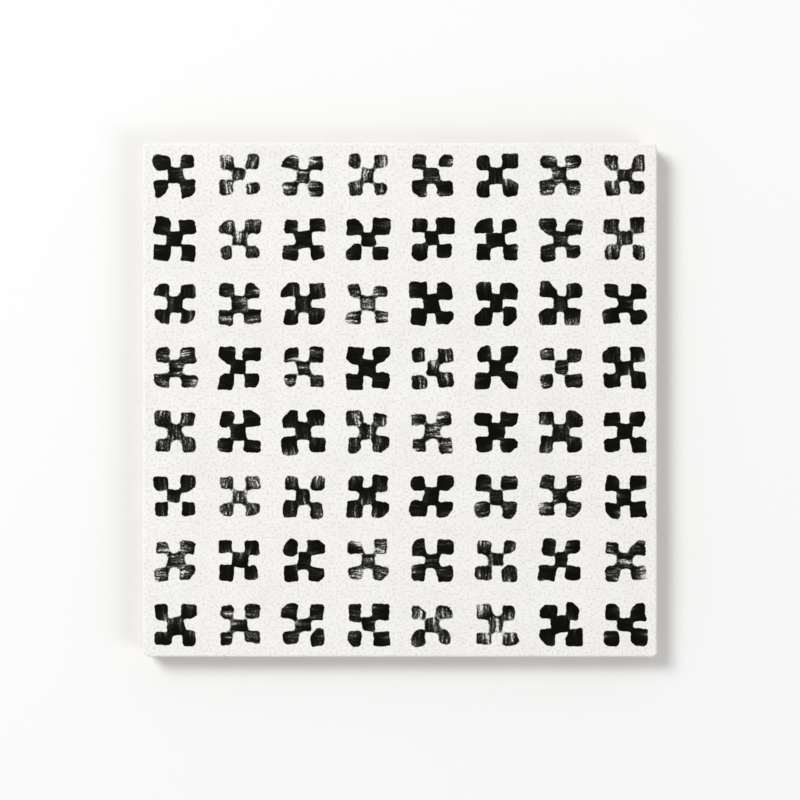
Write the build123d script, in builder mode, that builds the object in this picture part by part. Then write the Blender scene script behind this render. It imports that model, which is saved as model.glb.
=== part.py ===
"""Cement-look floor tile: a square slab, pressed and fired as one piece, with a printed face and a keyed back.

The origin is at the middle of the back, on the plane of the ribs that the tile is bedded on.
The printed face looks up, towards +Z. All sizes are in millimetres.
"""

import os
from math import radians, tan

from build123d import *

# The slab
FACE_SIDE = 200.0  # across the printed face, before its arris is eased
THICKNESS = 10.0  # from the back ribs to the printed face
CORNER_RADIUS = 2.0  # rounding of the four upright corners, seen in plan
SIDE_DRAFT = 1.0  # degrees that each side leans in towards the back, so that the tile leaves its mould
ARRIS_RADIUS = 0.8  # rounding where the printed face turns into the sides
BACK_CHAMFER = 0.6  # break of the edge round the back

# The keyed back: sunk cells between raised ribs, which the bedding mortar grips
BORDER_WIDTH = 8.5  # plain band between the back's edge, before its break, and the first cells
RIB_WIDTH = 4.0  # width of a rib on the bedding plane
CELLS_PER_SIDE = 6
KEY_DEPTH = 0.8  # how far the cells are sunk
KEY_DRAFT = 35.0  # degrees that the cell walls lean, so that the punch lifts out
KEY_CORNER_RADIUS = 3.0  # rounding of a cell's corners at its mouth

# The sides run straight down to the back, so its outline is smaller by the draft
draft_inset = THICKNESS * tan(radians(SIDE_DRAFT))
back_side = FACE_SIDE - 2 * draft_inset

# The cells share out what the border and the ribs leave
keyed_side = back_side - 2 * BORDER_WIDTH
cell_mouth = (keyed_side - (CELLS_PER_SIDE - 1) * RIB_WIDTH) / CELLS_PER_SIDE
cell_pitch = cell_mouth + RIB_WIDTH


with BuildPart() as tile:
    # Slab, widening from the back to the face
    with BuildSketch():
        Rectangle(back_side, back_side)
    extrude(amount=THICKNESS, taper=-SIDE_DRAFT)

    # Rounded upright corners, a small break round the back and an eased arris round the face
    upright_edges = tile.edges().group_by(Axis.Z)[1]
    fillet(upright_edges, radius=CORNER_RADIUS)
    bedding_face = tile.faces().sort_by(Axis.Z)[0]
    chamfer(bedding_face.edges(), length=BACK_CHAMFER)
    printed_face = tile.faces().sort_by(Axis.Z)[-1]
    fillet(printed_face.edges(), radius=ARRIS_RADIUS)

    # Keying cells, pressed up into the back
    with BuildSketch():
        with GridLocations(cell_pitch, cell_pitch, CELLS_PER_SIDE, CELLS_PER_SIDE):
            RectangleRounded(cell_mouth, cell_mouth, KEY_CORNER_RADIUS)
    extrude(amount=KEY_DEPTH, taper=KEY_DRAFT, mode=Mode.SUBTRACT)

tile.part.label = "tile"

os.makedirs("parts", exist_ok=True)
export_step(tile.part, "parts/tile.step")

print(f"back {back_side:.2f} mm, cells {cell_mouth:.2f} mm at {cell_pitch:.2f} mm, {tile.part.volume:.0f} mm3")
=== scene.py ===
"""Looks of the cement-look tile: a pressed slab, fired, glazed off-white and brushed with black motifs.

Sizes are in millimetres until they reach a mesh or a light, where MM turns them into metres.
"""

from math import radians, sqrt, tan

import bpy
import numpy as np
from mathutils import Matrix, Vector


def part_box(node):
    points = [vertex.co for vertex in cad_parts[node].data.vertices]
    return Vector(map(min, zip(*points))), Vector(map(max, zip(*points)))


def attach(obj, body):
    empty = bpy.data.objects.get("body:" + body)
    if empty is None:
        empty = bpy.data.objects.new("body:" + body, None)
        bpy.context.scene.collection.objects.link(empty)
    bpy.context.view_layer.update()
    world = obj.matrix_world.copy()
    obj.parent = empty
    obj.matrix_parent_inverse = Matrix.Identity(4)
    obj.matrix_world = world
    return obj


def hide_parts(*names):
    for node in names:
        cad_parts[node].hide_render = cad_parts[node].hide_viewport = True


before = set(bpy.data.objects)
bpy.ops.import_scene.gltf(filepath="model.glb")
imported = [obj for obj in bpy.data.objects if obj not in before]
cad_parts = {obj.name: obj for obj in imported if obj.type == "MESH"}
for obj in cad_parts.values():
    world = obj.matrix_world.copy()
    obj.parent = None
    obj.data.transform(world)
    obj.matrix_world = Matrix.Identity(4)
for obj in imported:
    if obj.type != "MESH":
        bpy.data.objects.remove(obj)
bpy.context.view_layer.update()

MM = 0.001
low_corner, high_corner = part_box("tile")
HALF_SIDE = (high_corner.x - low_corner.x) / 2 / MM
THICKNESS = (high_corner.z - low_corner.z) / MM

# The slab, as it was pressed and fired
FACE_SIDE = 200.0  # before its arris is eased
CORNER_RADIUS = 2.0
ARRIS_RADIUS = 0.8
SIDE_DRAFT = 1.0  # degrees
BACK_CHAMFER = 0.6
FACE_SWELL = 0.05  # the face is flat to within this
EDGE_SWAY = 0.06  # the sides are straight to within this
SWAY_REACH = 6.0  # how far in from its edge the face follows the sides

# The keyed back
BORDER_WIDTH = 8.5
RIB_WIDTH = 4.0
CELLS_PER_SIDE = 6
KEY_DEPTH = 0.8
KEY_DRAFT = 35.0  # degrees
KEY_WALL = KEY_DEPTH * tan(radians(KEY_DRAFT))  # width of a cell's sloping wall, seen in plan
KEY_CORNER_RADIUS = 3.0

# How finely the mesh follows them
ARRIS_STEPS = 6
CORNER_STEPS = 3
KEY_CORNER_STEPS = 4
KEY_FLOOR_STEPS = 5
SIDE_STEPS = 8
SNAP = 0.0002  # places nearer than this count as the same
TINY = 1e-9  # keeps a division by nothing from failing
CREASE_ANGLE = 25.0  # degrees: edges sharper than this stay sharp

# The brushwork: rows of motifs, each an X of five dabs
MOTIFS_PER_SIDE = 8
MOTIF_PITCH = FACE_SIDE / MOTIFS_PER_SIDE
DAB_SPREAD = 5.1  # from the middle of a motif to an outer dab, along X and along Y
DRY_DAB_HALF = 2.35  # half the width of a dab from a dry brush
WET_DAB_HALF = 3.05  # and from a full one
DAB_SLIP = 0.8  # room in which a dab strays from its place, along X and along Y
DAB_LEAN = 0.24  # range of angles at which the brush is held, in radians
DAB_STRETCH = (0.83, 1.17)  # least and most of its usual width and height that a dab has
DAB_ROUNDING = (0.6, 1.8)  # least and most rounding of a dab's corners
INK_STRENGTH = 6.0  # a film of full thickness lets through the exponential of minus this

# Relief and sheen
GLAZE_DRIP = 2.2  # range in which the lower edge of the glaze wavers on the sides
SAND_HEIGHT = 0.02  # grain of the glaze
PEEL_HEIGHT = 0.06  # soft waves of the glaze
CLAY_HEIGHT = 0.12  # grain that the bare body has besides
PINHOLE_DEPTH = 0.06
GLAZE_ROUGHNESS = (0.52, 0.72)  # least and most
INK_POLISH = 0.1  # how much smoother the ink is
CLAY_ROUGHENING = 0.15  # how much rougher the bare body is
SPECULAR_LEVEL = 0.07

# Colours of the glazed face
WARM_GLAZE = (0.880, 0.860, 0.829, 1.0)
COOL_GLAZE = (0.871, 0.862, 0.831, 1.0)
SHADED_GLAZE = (0.745, 0.738, 0.708, 1.0)
SAND_GRAIN = (0.48, 0.465, 0.43, 1.0)
# Darker grey given to the pinholes
PINHOLE_GREY = (0.34, 0.32, 0.29, 1.0)
BLACK_INK = (0.0016, 0.0014, 0.0012, 1.0)

# Colours of the bare body
PALE_CLAY = (0.60, 0.545, 0.465, 1.0)
DARK_CLAY = (0.50, 0.45, 0.38, 1.0)
DRAG_MARK = (0.42, 0.375, 0.315, 1.0)
DARK_GRAIN = (0.36, 0.32, 0.27, 1.0)
PALE_GRIT = (0.74, 0.70, 0.63, 1.0)
IRON_SPECK = (0.13, 0.095, 0.07, 1.0)
RUSTY_FLASH = (0.47, 0.34, 0.22, 1.0)
KILN_WASH = (0.78, 0.77, 0.74, 1.0)

# The studio
FLOOR_REACH = 4.0  # metres
GLOW_START = 0.8  # metres from the tile where the floor's painted glow starts and turns it white
FLOOR_GLOW = 0.6  # light that its far end adds
PALE_FLOOR = (0.90, 0.90, 0.897, 1.0)
WHITE = (1.0, 1.0, 1.0, 1.0)
LAMP_SIZE = 1.2  # metres

# The picture
PHOTO_SIDE = 800  # pixels
TILE_PIXELS = 514  # pixels that the side of the tile takes up
LENS = 100.0
SENSOR = 36.0


class Field:
    """A number or vector that varies over the surface, with arithmetic that adds the shader nodes for it."""

    def __init__(self, socket):
        self.socket = socket

    def is_vector(self):
        return self.socket.type in ("VECTOR", "RGBA")

    def __add__(self, other):
        return operate("ADD", self, other)

    def __sub__(self, other):
        return operate("SUBTRACT", self, other)

    def __rsub__(self, other):
        return operate("SUBTRACT", other, self)

    def __mul__(self, other):
        return operate("MULTIPLY", self, other)

    def __truediv__(self, other):
        return operate("DIVIDE", self, other)


def connect(socket, value):
    """Joins a field to a node's input, or writes a plain number, vector or colour into it."""
    if isinstance(value, Field):
        socket.id_data.links.new(value.socket, socket)
    elif socket.type == "VECTOR" and isinstance(value, (int, float)):
        socket.default_value = (value, value, value)
    else:
        socket.default_value = value


def operate(operation, *values):
    """One Math node, or one Vector Math node where any of the values is a vector."""
    fields = [value for value in values if isinstance(value, Field)]
    nodes = fields[0].socket.id_data.nodes
    vector = any(field.is_vector() for field in fields)
    node = nodes.new("ShaderNodeVectorMath" if vector else "ShaderNodeMath")
    node.operation = operation
    for socket, value in zip(node.inputs, values):
        connect(socket, value)
    return Field(node.outputs["Value" if operation == "LENGTH" else 0])


def split(vector):
    """The three numbers of a vector field."""
    node = vector.socket.id_data.nodes.new("ShaderNodeSeparateXYZ")
    connect(node.inputs[0], vector)
    return [Field(output) for output in node.outputs]


def join(x, y, z):
    """A vector field from three numbers, the first of them a field."""
    node = x.socket.id_data.nodes.new("ShaderNodeCombineXYZ")
    for socket, value in zip(node.inputs, (x, y, z)):
        connect(socket, value)
    return Field(node.outputs[0])


def between(low, high, share):
    """The low number where the share is 0, the high one where it is 1, and a straight line through both."""
    return share * (high - low) + low


def swing(share, width):
    """A share from 0 to 1 as a swing to both sides of 0, of the given width in all."""
    return (share - 0.5) * width


def rise(value, start, end):
    """0 up to start, 1 from end on, and an S-shaped step between them."""
    node = value.socket.id_data.nodes.new("ShaderNodeMapRange")
    node.interpolation_type = "SMOOTHSTEP"
    connect(node.inputs["Value"], value)
    connect(node.inputs["From Min"], start)
    connect(node.inputs["From Max"], end)
    return Field(node.outputs["Result"])


def blend(first, second, share):
    """The first colour where the share is 0, the second where it is 1."""
    node = share.socket.id_data.nodes.new("ShaderNodeMix")
    node.data_type = "RGBA"
    # The node has sockets of the same names for numbers and vectors, so the colour ones go by their places
    first_colour, second_colour, blended_colour = node.inputs[6], node.inputs[7], node.outputs[2]
    connect(node.inputs["Factor"], share)
    connect(first_colour, first)
    connect(second_colour, second)
    return Field(blended_colour)


def clouds(place, size, detail=1.0):
    """Soft noise with features of the given size in the units of the place: one number and one vector field.

    The same noise read at another place, such as the place plus 300, is an unrelated pattern.
    """
    node = place.socket.id_data.nodes.new("ShaderNodeTexNoise")
    node.inputs["Scale"].default_value = 1 / size
    node.inputs["Detail"].default_value = detail
    connect(node.inputs["Vector"], place)
    return Field(node.outputs["Fac"]), Field(node.outputs["Color"])


def chance(seed):
    """Three unrelated numbers from 0 to 1 for each seed vector: a shifted seed gives other ones."""
    node = seed.socket.id_data.nodes.new("ShaderNodeTexWhiteNoise")
    connect(node.inputs["Vector"], seed)
    return Field(node.outputs["Color"])


def scatter(place, spacing, radius, share, flat=False):
    """Small round spots scattered at random: 1 inside a spot and 0 outside it.

    A spot is what lies nearer than its radius to one of the points of a jittered grid. The radius given is
    the largest one, and only the given share of the points has a spot. Flat spots follow X and Y alone.
    """
    node = place.socket.id_data.nodes.new("ShaderNodeTexVoronoi")
    node.voronoi_dimensions = "2D" if flat else "3D"
    node.inputs["Scale"].default_value = 1 / spacing
    connect(node.inputs["Vector"], place)
    luck, size, _ = split(Field(node.outputs["Color"]))
    reach = between(0.4, 1.0, size) * (radius / spacing)
    spot = rise(Field(node.outputs["Distance"]), reach, reach * 0.5)
    return spot * operate("LESS_THAN", luck, share)


def brush_dab(place, seed, load, upright, outward):
    """One dab of the brush, its middle where the place is 0: distance to its edge, thickness of its film.

    The dab is a square with rounded corners, moved, turned and stretched a little by chance, and cut off
    across one corner where the brush missed it, mostly one that points outward. Its distance is that of a
    rounded box: the length of what lies outside the inner box, plus the negative part inside it, less the
    rounding. The bristles leave streaks in the film, noise that is drawn out along the stroke, and the film
    thins towards one end of it.
    """
    slip_x, slip_y, turn = split(chance(seed) - 0.5)
    wide, tall, rounding = split(chance(seed + 11.3))
    corner_x, corner_y, missed = split(chance(seed + 23.7))
    x, y, _ = split(place)
    x = x - slip_x * DAB_SLIP
    y = y - slip_y * DAB_SLIP
    lean = turn * DAB_LEAN
    x, y = x + y * lean, y - x * lean

    half = between(DRY_DAB_HALF, WET_DAB_HALF, load)
    radius = between(*DAB_ROUNDING, rounding)
    outer_x = operate("ABSOLUTE", x) - (half * between(*DAB_STRETCH, wide) - radius)
    outer_y = operate("ABSOLUTE", y) - (half * between(*DAB_STRETCH, tall) - radius)
    outside = join(operate("MAXIMUM", outer_x, 0.0), operate("MAXIMUM", outer_y, 0.0), 0.0)
    beyond = operate("LENGTH", outside)
    within = operate("MINIMUM", operate("MAXIMUM", outer_x, outer_y), 0.0)
    square = beyond + within - radius

    # Along X and along Y, the missed corner points outward three times in four
    outward_x, outward_y, _ = split(outward)
    towards_x = outward_x * operate("SIGN", corner_x - 0.25)
    towards_y = outward_y * operate("SIGN", corner_y - 0.25)
    diagonal = (x * towards_x + y * towards_y) * sqrt(0.5)
    kept = between(1.5, 4.1, missed) + load * 0.7
    distance = operate("SMOOTH_MAX", square, diagonal - kept, 1.1)

    across = y + (x - y) * upright
    along = x + (y - x) * upright
    strand = turn * 90.0  # far enough apart for each dab to have streaks of its own
    broad, _ = clouds(join(across, along * 0.16, strand), size=2.3)
    bristle, _ = clouds(join(across, along * 0.10, strand + 7.0), size=0.5)
    streaks = (swing(broad, 2.1) + swing(bristle, 1.8)) * between(1.15, 0.70, load)
    film = between(0.11, 1.06, load) + streaks - along * slip_x * 0.3
    return distance + swing(bristle, 0.9) * (1.3 - load), film


def brushwork(place):
    """Share of the light that the ink takes away, from 0 to 1: one X of five dabs in each cell of the grid.

    The place is first bent by two clouds, a slow one that makes the hand wander and a fine one that frays
    the edges. How much colour the brush carries changes from motif to motif, and slowly over the tile.
    Where dabs meet, their wet edges run together. A thin film gathers along its edge, and the grain of the
    glaze breaks it up. The film lets through the exponential of minus its thickness times its strength.
    """
    _, wander = clouds(place, size=4.5)
    grain, fray = clouds(place, size=0.6, detail=2.0)
    drawn = place + swing(wander, 1.7) + swing(fray, 0.5)

    motif = operate("FLOOR", place / MOTIF_PITCH)
    quarter = operate("FLOOR", place / (MOTIF_PITCH / 2))
    middle = (motif + 0.5) * MOTIF_PITCH
    from_middle = drawn - middle
    outward = operate("SIGN", place - middle)
    nowhere = outward * 0.0  # the middle dab has no outer corner to miss

    luck, stroke, _ = split(chance(motif + 5.0))
    region, _ = clouds(place, size=55.0)
    load = between(0.42, 1.08, rise(luck + swing(region, 1.2), -0.1, 1.0))
    upright = operate("GREATER_THAN", stroke, 0.5)

    outer_place = from_middle - outward * DAB_SPREAD
    outer_edge, outer_film = brush_dab(outer_place, quarter, load, upright, outward)
    middle_edge, middle_film = brush_dab(from_middle, motif + 41.0, load, upright, nowhere)
    edge = operate("SMOOTH_MIN", outer_edge, middle_edge, between(5.0, 1.5, load))
    film = outer_film + (middle_film - outer_film) * rise(outer_edge - middle_edge, -0.5, 0.5)
    gathered = rise(edge, -1.2, -0.3) * between(0.4, 0.0, load)
    broken_up = swing(grain, 1.0) * between(2.2, 0.8, load)
    thickness = operate("MAXIMUM", film + gathered + broken_up, 0.03)
    softness = between(0.46, 0.16, load)
    covered = thickness * rise(edge, softness, softness * -1.0)
    return 1.0 - operate("EXPONENT", covered * -INK_STRENGTH)


def glazed_ground(place, pinholes):
    """Off-white matt glaze: faintly cloudy, sandy like cement, with pinholes coloured a darker grey than the
    glaze.
    """
    slow, _ = clouds(place, size=38.0, detail=2.0)
    cloudy, _ = clouds(place, size=7.0, detail=4.0)
    tint, _ = clouds(place + 300.0, size=45.0)
    sand, _ = clouds(place + 600.0, size=1.0, detail=2.0)
    tinted = blend(WARM_GLAZE, COOL_GLAZE, rise(tint, 0.38, 0.62))
    shaded = blend(tinted, SHADED_GLAZE, rise(cloudy * 0.65 + slow * 0.35, 0.40, 0.70) * 0.3)
    sanded = blend(shaded, SAND_GRAIN, rise(sand, 0.44, 0.76) * 0.42)
    # The pinholes are coloured a darker grey than the glaze around them
    return blend(sanded, PINHOLE_GREY, pinholes * 0.55)


def fired_clay(place):
    """Bare fired body: pale warm grey, with dark and light grains, and marks of the die up the sides."""
    x, y, _ = split(place)
    from_middle = operate("MAXIMUM", operate("ABSOLUTE", x), operate("ABSOLUTE", y))
    on_sides = rise(from_middle, HALF_SIDE - 1.5, HALF_SIDE - 0.6)
    cloudy, _ = clouds(place + 900.0, size=12.0, detail=3.0)
    grain, bent = clouds(place + 1200.0, size=0.8, detail=4.0)
    dragged, _ = clouds(place * (1.0, 1.0, 0.05), size=0.7, detail=2.0)
    clay = blend(PALE_CLAY, DARK_CLAY, rise(cloudy, 0.33, 0.68))
    marked = blend(clay, DRAG_MARK, rise(dragged, 0.48, 0.72) * on_sides * 0.5)
    grained = blend(marked, DARK_GRAIN, rise(grain, 0.46, 0.76) * 0.5)
    ragged = place + swing(bent, 0.9)
    grit = scatter(ragged, spacing=1.7, radius=0.5, share=0.35)
    specks = scatter(ragged + 50.0, spacing=2.6, radius=0.45, share=0.3)
    return blend(blend(grained, PALE_GRIT, grit * 0.6), IRON_SPECK, specks * 0.8)


def kiln_wash(place, height):
    """Share of white kiln wash on the bare body: dusty on the ribs of the back, a trace in its cells."""
    dusty, _ = clouds(place * (0.7, 1.0, 1.0) + 1500.0, size=2.4, detail=5.0)
    patchy, _ = clouds(place + 1800.0, size=19.0, detail=3.0)
    wash = rise(dusty * 0.45 + patchy * 0.55, 0.40, 0.64)
    on_ribs = between(0.1, 1.0, rise(height, 0.6, 0.02))
    on_back = rise(height, 1.4, 0.9)
    return wash * on_ribs * on_back


def glaze_lip(place, below_face):
    """Shares of glaze, of wear in it, and of the flash that the fire leaves on the clay below it.

    The glaze ends where the depth below the face passes a line that wavers with a cloud. From the arris
    down it is worn thin in patches.
    """
    drip, _ = clouds(place, size=5.0, detail=2.0)
    below_line = below_face - drip * GLAZE_DRIP
    flash = rise(below_line, 0.3, 0.8) * rise(below_line, 2.0, 0.9)
    patchy, _ = clouds(place, size=3.0, detail=3.0)
    worn = rise(below_face, 0.12, 0.65) * rise(patchy, 0.40, 0.66) * 0.45
    return rise(below_line, 0.75, 0.25), worn, flash


def hand_painted_stoneware():
    """The tile's one material: clay body, glaze down to a wavering line, and brushwork on the glaze."""
    material = bpy.data.materials.new("hand_painted_stoneware")
    material.use_nodes = True
    nodes = material.node_tree.nodes
    shader = nodes["Principled BSDF"]
    place = Field(nodes.new("ShaderNodeTexCoord").outputs["Object"]) * (1 / MM)
    _, _, height = split(place)
    below_face = THICKNESS - height

    glaze, worn, flash = glaze_lip(place, below_face)
    pinholes = scatter(place, spacing=3.4, radius=0.24, share=0.4, flat=True) * rise(below_face, 0.4, 0.1)
    ink = brushwork(place) * rise(below_face, 0.5, 0.2)
    washed = blend(fired_clay(place), KILN_WASH, kiln_wash(place, height) * 0.75)
    flashed = blend(washed, RUSTY_FLASH, flash * 0.4)
    ground = blend(flashed, glazed_ground(place, pinholes), glaze * (1.0 - worn))
    connect(shader.inputs["Base Color"], blend(ground, BLACK_INK, ink))

    bare = 1.0 - glaze
    satin, _ = clouds(place, size=2.2, detail=3.0)
    roughness = between(*GLAZE_ROUGHNESS, satin) - ink * INK_POLISH + bare * CLAY_ROUGHENING
    connect(shader.inputs["Roughness"], roughness)
    shader.inputs["Specular IOR Level"].default_value = SPECULAR_LEVEL

    sand, _ = clouds(place, size=0.35, detail=2.0)
    orange_peel, _ = clouds(place, size=4.0)
    glaze_relief = sand * SAND_HEIGHT + orange_peel * PEEL_HEIGHT
    relief = glaze_relief + bare * sand * CLAY_HEIGHT - pinholes * PINHOLE_DEPTH
    bump = nodes.new("ShaderNodeBump")
    bump.inputs["Distance"].default_value = MM
    connect(bump.inputs["Height"], relief)
    connect(shader.inputs["Normal"], Field(bump.outputs["Normal"]))
    return material


def back_sizes():
    """Half the side of the back, half the width of a cell at its mouth, and the step from cell to cell."""
    draft_inset = (THICKNESS - ARRIS_RADIUS - BACK_CHAMFER) * tan(radians(SIDE_DRAFT))
    back_half = HALF_SIDE - draft_inset
    keyed_side = 2 * (back_half - BORDER_WIDTH)
    mouth = (keyed_side - (CELLS_PER_SIDE - 1) * RIB_WIDTH) / CELLS_PER_SIDE
    return back_half, mouth / 2, mouth + RIB_WIDTH


def grid_lines():
    """Lines of the one grid that face and back share, from edge to edge.

    They follow the arris (equal steps of its angle), the rounded corners, and in each cell of the back its
    wall, its rounded corners (equal steps of their angle, so by tangents) and its floor.
    """
    _, mouth_half, pitch = back_sizes()
    arc = np.tan(np.radians(np.linspace(0, 45, KEY_CORNER_STEPS + 1)))
    corner = mouth_half - KEY_CORNER_RADIUS + KEY_CORNER_RADIUS * arc
    floor = np.linspace(0, corner[0], KEY_FLOOR_STEPS + 1)[:-1]
    wall_and_rib = [mouth_half - KEY_WALL, mouth_half + RIB_WIDTH / 2]
    half_cell = np.sort(np.concatenate([floor, corner, wall_and_rib]))
    cell = np.concatenate([-half_cell[:0:-1], half_cell])
    middles = pitch * (np.arange(CELLS_PER_SIDE) - (CELLS_PER_SIDE - 1) / 2)
    keyed = (middles[:, None] + cell).ravel()

    arris = ARRIS_RADIUS * (1 - np.cos(np.radians(np.linspace(0, 90, ARRIS_STEPS + 1))))
    rounding = np.linspace(ARRIS_RADIUS, CORNER_RADIUS, CORNER_STEPS + 1)[1:]
    edge = HALF_SIDE - np.concatenate([arris, rounding])
    lines = np.concatenate([-edge, keyed, edge])
    return np.unique(lines.round(6))


def round_corners(across, along, half, radius):
    """Pulls the corners of square rings in to arcs, as far from the edge as each ring was."""
    into_x = np.abs(across) - (half - radius)
    into_y = np.abs(along) - (half - radius)
    ring = np.maximum(into_x, into_y)
    in_corner = (into_x > 0) & (into_y > 0) & (ring < radius + SNAP)
    pull = np.where(in_corner, ring / np.hypot(into_x, into_y).clip(TINY), 1.0)
    x = np.where(in_corner, np.sign(across) * (half - radius + into_x * pull), across)
    y = np.where(in_corner, np.sign(along) * (half - radius + into_y * pull), along)
    return x, y


def sway(along, seed):
    """A slow wave between 0 and 1: three sines of unrelated lengths added up."""
    short_height = 0.6
    waves = np.sin(along / 31.0 + seed) + np.sin(along / 13.7 + 2 * seed)
    waves = waves + short_height * np.sin(along / 5.3 + 3 * seed)
    return 0.5 + waves / (2 * (1 + 1 + short_height))


def glazed_face(across, along):
    """The face as a height over the grid: flat, with a quarter circle of arris round it.

    At a distance d from the edge, within the arris radius r, the height drops by r - sqrt(r^2 - (r - d)^2).
    The face also sinks by a slow swell, and its edge sways inwards.
    """
    x, y = round_corners(across, along, HALF_SIDE, CORNER_RADIUS)
    from_edge = HALF_SIDE - np.maximum(np.abs(across), np.abs(along))
    into_arris = (ARRIS_RADIUS - from_edge).clip(0)
    drop = ARRIS_RADIUS - np.sqrt((ARRIS_RADIUS**2 - into_arris**2).clip(0))
    swell = FACE_SWELL * sway(x + 0.4 * y, 0.7) * sway(y - 0.3 * x, 2.1)
    inwards = EDGE_SWAY * (1 - from_edge / SWAY_REACH).clip(0, 1)
    x = x - np.sign(x) * inwards * sway(y, 1.3) * (np.abs(across) >= np.abs(along))
    y = y - np.sign(y) * inwards * sway(x, 4.2) * (np.abs(along) >= np.abs(across))
    return np.stack([x, y, THICKNESS - drop - swell], axis=-1)


def border_place(line, back_half):
    """Where a line of the grid lies on the back: unmoved among the cells, drawn in over the border."""
    border_lines = [0, HALF_SIDE - CORNER_RADIUS, HALF_SIDE - ARRIS_RADIUS, HALF_SIDE]
    border_places = [0, back_half - CORNER_RADIUS, back_half - BACK_CHAMFER, back_half]
    drawn_in = np.sign(line) * np.interp(np.abs(line), border_lines, border_places)
    return np.where(np.abs(line) > back_half - BORDER_WIDTH, drawn_in, line)


def keyed_back(across, along):
    """The back as a height over the same grid: a chamfered border, flat ribs, cells with sloping walls.

    In a cell, at a ring c from its middle, the depth is the key depth times (mouth - c) / wall, kept from 0
    to 1. Over the border, the height is what a 45-degree chamfer leaves at each distance from the edge.
    """
    back_half, mouth_half, pitch = back_sizes()
    in_border = np.maximum(np.abs(across), np.abs(along)) > back_half - BORDER_WIDTH
    border_x = border_place(across, back_half)
    border_y = border_place(along, back_half)
    from_edge = back_half - np.maximum(np.abs(border_x), np.abs(border_y))
    chamfer = (BACK_CHAMFER - from_edge).clip(0)
    border_x, border_y = round_corners(border_x, border_y, back_half, CORNER_RADIUS)

    middle = (CELLS_PER_SIDE - 1) / 2
    cell_x = pitch * ((across / pitch + middle).round().clip(0, CELLS_PER_SIDE - 1) - middle)
    cell_y = pitch * ((along / pitch + middle).round().clip(0, CELLS_PER_SIDE - 1) - middle)
    ring = np.maximum(np.abs(across - cell_x), np.abs(along - cell_y))
    depth = KEY_DEPTH * ((mouth_half - ring) / KEY_WALL).clip(0, 1)
    rounded_x, rounded_y = round_corners(across - cell_x, along - cell_y, mouth_half, KEY_CORNER_RADIUS)

    x = np.where(in_border, border_x, cell_x + rounded_x)
    y = np.where(in_border, border_y, cell_y + rounded_y)
    return np.stack([x, y, np.where(in_border, chamfer, depth)], axis=-1)


def outline(count):
    """Grid places along the outline, counter-clockwise from the first corner."""
    run = np.arange(count - 1)
    first = np.zeros_like(run)
    last = np.full_like(run, count - 1)
    columns = np.concatenate([run, last, last - run, first])
    rows = np.concatenate([first, run, last, last - run])
    return rows * count + columns


def quads(near, far):
    """Four-cornered faces between two lines of vertices that run side by side."""
    return np.stack([near[..., :-1], near[..., 1:], far[..., 1:], far[..., :-1]], axis=-1).reshape(-1, 4)


def pressed_slab():
    """The whole tile as one closed mesh: glazed face, keyed back, and sides straight from one to the other.

    The sides are bands of vertices between the outlines of face and back, at equal shares of the way.
    """
    lines = grid_lines()
    count = len(lines)
    across, along = np.meshgrid(lines, lines)
    face = glazed_face(across, along).reshape(-1, 3)
    back = keyed_back(across, along).reshape(-1, 3)
    loop = outline(count)
    levels = np.linspace(0, 1, SIDE_STEPS + 1)[1:-1, None, None]
    sides = face[loop] + (back[loop] - face[loop]) * levels
    vertices = np.concatenate([face, back, sides.reshape(-1, 3)]) * MM

    numbers = np.arange(count * count).reshape(count, count)
    face_quads = quads(numbers[:-1], numbers[1:])
    back_quads = face_quads[:, ::-1]
    side_numbers = 2 * count * count + np.arange(levels.size * loop.size).reshape(levels.size, loop.size)
    bands = np.concatenate([loop[None], side_numbers, loop[None] + count * count])
    bands = np.concatenate([bands, bands[:, :1]], axis=1)
    side_quads = quads(bands[1:], bands[:-1])
    faces = np.concatenate([face_quads, back_quads + count * count, side_quads])

    mesh = bpy.data.meshes.new("fired_tile")
    mesh.from_pydata(vertices.tolist(), [], faces.tolist())
    places = lay_out_map(lines, face_quads, back_quads)
    mesh.uv_layers.new(name="OFBake").data.foreach_set("uv", places.ravel())
    mesh.shade_smooth()
    mesh.set_sharp_from_angle(angle=radians(CREASE_ANGLE))
    return mesh


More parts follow.
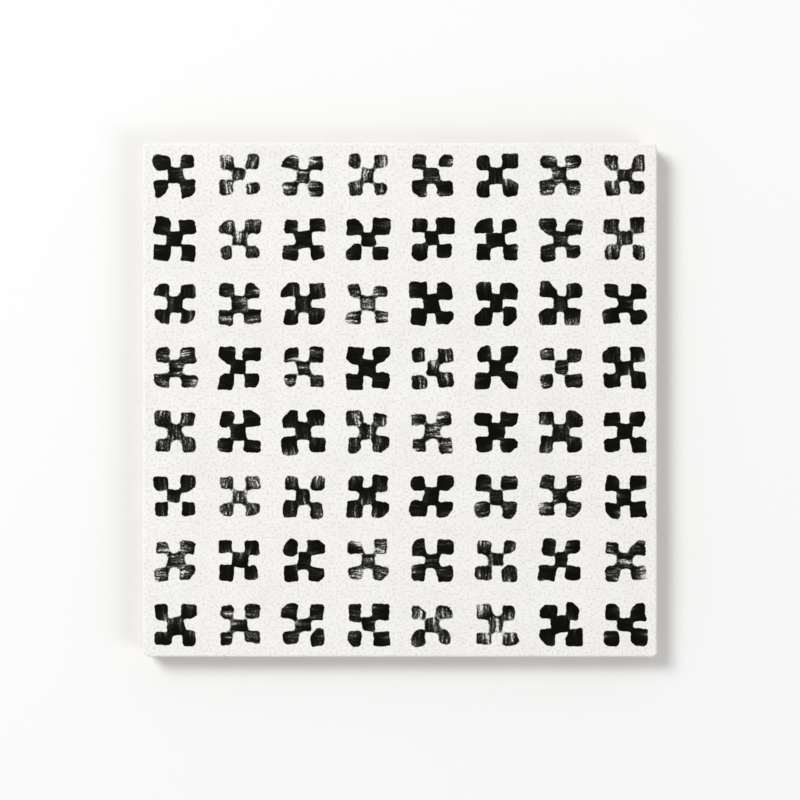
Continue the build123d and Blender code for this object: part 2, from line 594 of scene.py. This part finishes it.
def lay_out_map(lines, face_quads, back_quads):
    """Flat map of the slab: the face in a corner, the sides to its right, the back above it in two halves.

    The arris is rolled out flat: a line at a distance d into its radius r lies at r * arcsin(d / r) on the
    map. The places are in the order of the corners of the faces.
    """
    margin = 0.006
    face_share = 0.74
    rest = 1 - face_share - 3 * margin
    flat = HALF_SIDE - ARRIS_RADIUS
    into_arris = ((np.abs(lines) - flat) / ARRIS_RADIUS).clip(0, 1)
    rolled_out = np.sign(lines) * (np.abs(lines).clip(max=flat) + ARRIS_RADIUS * np.arcsin(into_arris))
    spread = rolled_out / (2 * rolled_out.max()) + 0.5
    face_map = np.stack(np.meshgrid(spread, spread), axis=-1).reshape(-1, 2)[face_quads]
    face_map = margin + face_share * face_map

    # Each half of the back is as high as what the face leaves, so the back's scale is twice that
    back_share = 2 * rest
    spread = lines / (2 * HALF_SIDE) + 0.5
    back_map = np.stack(np.meshgrid(1 - spread, spread), axis=-1).reshape(-1, 2)[back_quads]
    upper_half = back_map[..., 1:].mean(axis=1, keepdims=True) > 0.5
    back_map = back_share * (back_map - upper_half * (0, 0.5)) + upper_half * (back_share + margin, 0)
    back_map = back_map + (margin, 2 * margin + face_share)

    # Four strips, whose quads have two corners one step on and two corners one level down
    one_step_on = (0, 1, 1, 0)
    one_level_down = (1, 1, 0, 0)
    strip = (rest - 3 * margin) / 4
    steps_per_side = len(lines) - 1
    side = np.arange(4).repeat(steps_per_side)[:, None]
    run = spread[np.tile(np.arange(steps_per_side), 4)[:, None] + one_step_on]
    fall = (np.arange(SIDE_STEPS)[:, None, None] + one_level_down) / SIDE_STEPS
    left = 2 * margin + face_share + side * (strip + margin)
    side_map = np.stack(np.broadcast_arrays(left + strip * fall, margin + face_share * run), axis=-1)
    return np.concatenate([face_map.reshape(-1, 2), back_map.reshape(-1, 2), side_map.reshape(-1, 2)])


def make_tile():
    """The dressed tile, which stands for the plain solid."""
    tile = bpy.data.objects.new("fired_tile", pressed_slab())
    bpy.context.collection.objects.link(tile)
    tile.data.materials.append(hand_painted_stoneware())
    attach(tile, "root")
    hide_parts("tile")


def make_floor():
    """A wide pale floor at the plane of the tile's back, with a painted glow that grows away from the tile,
    so it turns as white as the studio far away.
    """
    low, high = -FLOOR_REACH, FLOOR_REACH
    mesh = bpy.data.meshes.new("studio_floor")
    mesh.from_pydata([(low, low, 0), (high, low, 0), (high, high, 0), (low, high, 0)], [], [(0, 1, 2, 3)])
    material = bpy.data.materials.new("pale_floor")
    material.use_nodes = True
    nodes = material.node_tree.nodes
    shader = nodes["Principled BSDF"]
    shader.inputs["Base Color"].default_value = PALE_FLOOR
    shader.inputs["Roughness"].default_value = 0.8
    shader.inputs["Specular IOR Level"].default_value = 0.1
    from_tile = operate("LENGTH", Field(nodes.new("ShaderNodeTexCoord").outputs["Object"]))
    # Painted glow: the floor gives off light of its own, more the farther it is from the tile
    connect(shader.inputs["Emission Strength"], rise(from_tile, GLOW_START, FLOOR_REACH) * FLOOR_GLOW)
    shader.inputs["Emission Color"].default_value = WHITE
    mesh.materials.append(material)
    floor = bpy.data.objects.new("studio_floor", mesh)
    bpy.context.collection.objects.link(floor)


def soft_light(name, place, power):
    """A square lamp that points at the tile and doesn't show in the picture."""
    lamp = bpy.data.lights.new(name, "AREA")
    lamp.shape = "SQUARE"
    lamp.size = LAMP_SIZE
    lamp.energy = power
    light = bpy.data.objects.new(name, lamp)
    light.location = place
    light.rotation_euler = (-light.location).to_track_quat("-Z", "Y").to_euler()
    light.visible_camera = False
    bpy.context.collection.objects.link(light)


def light_studio():
    """Pale walls under a dim ceiling, a broad key light from the upper left, a weak one from the right."""
    scene = bpy.context.scene
    scene.world = bpy.data.worlds.new("studio")
    scene.world.use_nodes = True
    nodes = scene.world.node_tree.nodes
    _, _, upwards = split(Field(nodes.new("ShaderNodeTexCoord").outputs["Generated"]))
    connect(nodes["Background"].inputs["Strength"], between(1.0, 0.1, rise(upwards, 0.2, 1.0)))
    nodes["Background"].inputs["Color"].default_value = WHITE
    scene.view_settings.view_transform = "Standard"
    soft_light("key_light", place=(-1.6, 1.3, 2.1), power=62.0)
    soft_light("fill_light", place=(1.9, -1.0, 1.6), power=16.0)


def set_camera():
    """Straight down on the middle of the face, with the tile's rows level in the picture."""
    view = bpy.data.cameras.new("camera")
    view.lens = LENS
    view.sensor_width = SENSOR
    camera = bpy.data.objects.new("camera", view)
    seen_side = 2 * HALF_SIDE * PHOTO_SIDE / TILE_PIXELS
    camera.location = (0, 0, (THICKNESS + seen_side * LENS / SENSOR) * MM)
    bpy.context.collection.objects.link(camera)
    bpy.context.scene.camera = camera


set_camera()
make_tile()
make_floor()
light_studio()
